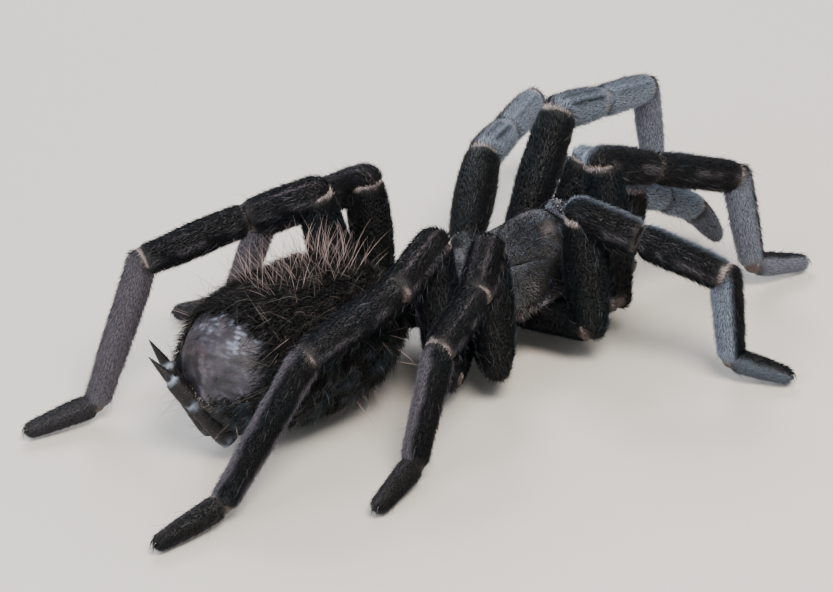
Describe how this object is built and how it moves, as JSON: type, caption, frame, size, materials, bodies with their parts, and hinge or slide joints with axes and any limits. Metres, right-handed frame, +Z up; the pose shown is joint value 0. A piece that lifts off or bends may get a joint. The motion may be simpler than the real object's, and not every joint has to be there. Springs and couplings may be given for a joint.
{
  "type": "tarantula",
  "caption": "Large black hairy tarantula, a still life-size model standing with arched legs, a plump abdomen, raised spinnerets and folded fangs.",
  "frame": {"origin": "centre of the bounding box at floor level, where the eight tarsi stand", "axes": "-Y the way the head points, +X the animal's left, +Z up; the floor is z = 0"},
  "size_m": [0.0878, 0.1274, 0.0301],
  "materials": {
    "leg_coat": "dense short black-brown hair with a grey-lilac sheen, paler at the leg tips",
    "abdomen_coat": "dense brown-black fur with long pale tan bristles on top",
    "carapace_coat": "short flat dark grey hair over a grooved shield, soft sheen",
    "underside_coat": "short black-brown hair, rust-coloured fringes round the mouth",
    "fang_horn": "glossy near-black horn",
    "eye_lens": "low dark mound with small glossy eyes"
  },
  "bodies": {
    "root": {"leg_left_1_femur": "leg_coat", "leg_left_1_patella": "leg_coat", "leg_left_1_tibia": "leg_coat", "leg_left_1_metatarsus": "leg_coat", "leg_left_1_tarsus": "leg_coat", "leg_left_2_femur": "leg_coat", "leg_left_2_patella": "leg_coat", "leg_left_2_tibia": "leg_coat", "leg_left_2_metatarsus": "leg_coat", "leg_left_2_tarsus": "leg_coat", "leg_left_3_femur": "leg_coat", "leg_left_3_patella": "leg_coat", "leg_left_3_tibia": "leg_coat", "leg_left_3_metatarsus": "leg_coat", "leg_left_3_tarsus": "leg_coat", "leg_left_4_femur": "leg_coat", "leg_left_4_patella": "leg_coat", "leg_left_4_tibia": "leg_coat", "leg_left_4_metatarsus": "leg_coat", "leg_left_4_tarsus": "leg_coat", "palp_left_femur": "leg_coat", "palp_left_patella": "leg_coat", "palp_left_tibia": "leg_coat", "palp_left_tarsus": "leg_coat", "chelicera_left": "leg_coat", "fang_left": "fang_horn", "spinneret_left": "abdomen_coat", "leg_right_1_femur": "leg_coat", "leg_right_1_patella": "leg_coat", "leg_right_1_tibia": "leg_coat", "leg_right_1_metatarsus": "leg_coat", "leg_right_1_tarsus": "leg_coat", "leg_right_2_femur": "leg_coat", "leg_right_2_patella": "leg_coat", "leg_right_2_tibia": "leg_coat", "leg_right_2_metatarsus": "leg_coat", "leg_right_2_tarsus": "leg_coat", "leg_right_3_femur": "leg_coat", "leg_right_3_patella": "leg_coat", "leg_right_3_tibia": "leg_coat", "leg_right_3_metatarsus": "leg_coat", "leg_right_3_tarsus": "leg_coat", "leg_right_4_femur": "leg_coat", "leg_right_4_patella": "leg_coat", "leg_right_4_tibia": "leg_coat", "leg_right_4_metatarsus": "leg_coat", "leg_right_4_tarsus": "leg_coat", "palp_right_femur": "leg_coat", "palp_right_patella": "leg_coat", "palp_right_tibia": "leg_coat", "palp_right_tarsus": "leg_coat", "chelicera_right": "leg_coat", "fang_right": "fang_horn", "spinneret_right": "abdomen_coat", "carapace": "carapace_coat", "sternum_coxae": "underside_coat", "abdomen": "abdomen_coat", "eye_mound": "eye_lens"}
  },
  "joints": []
}
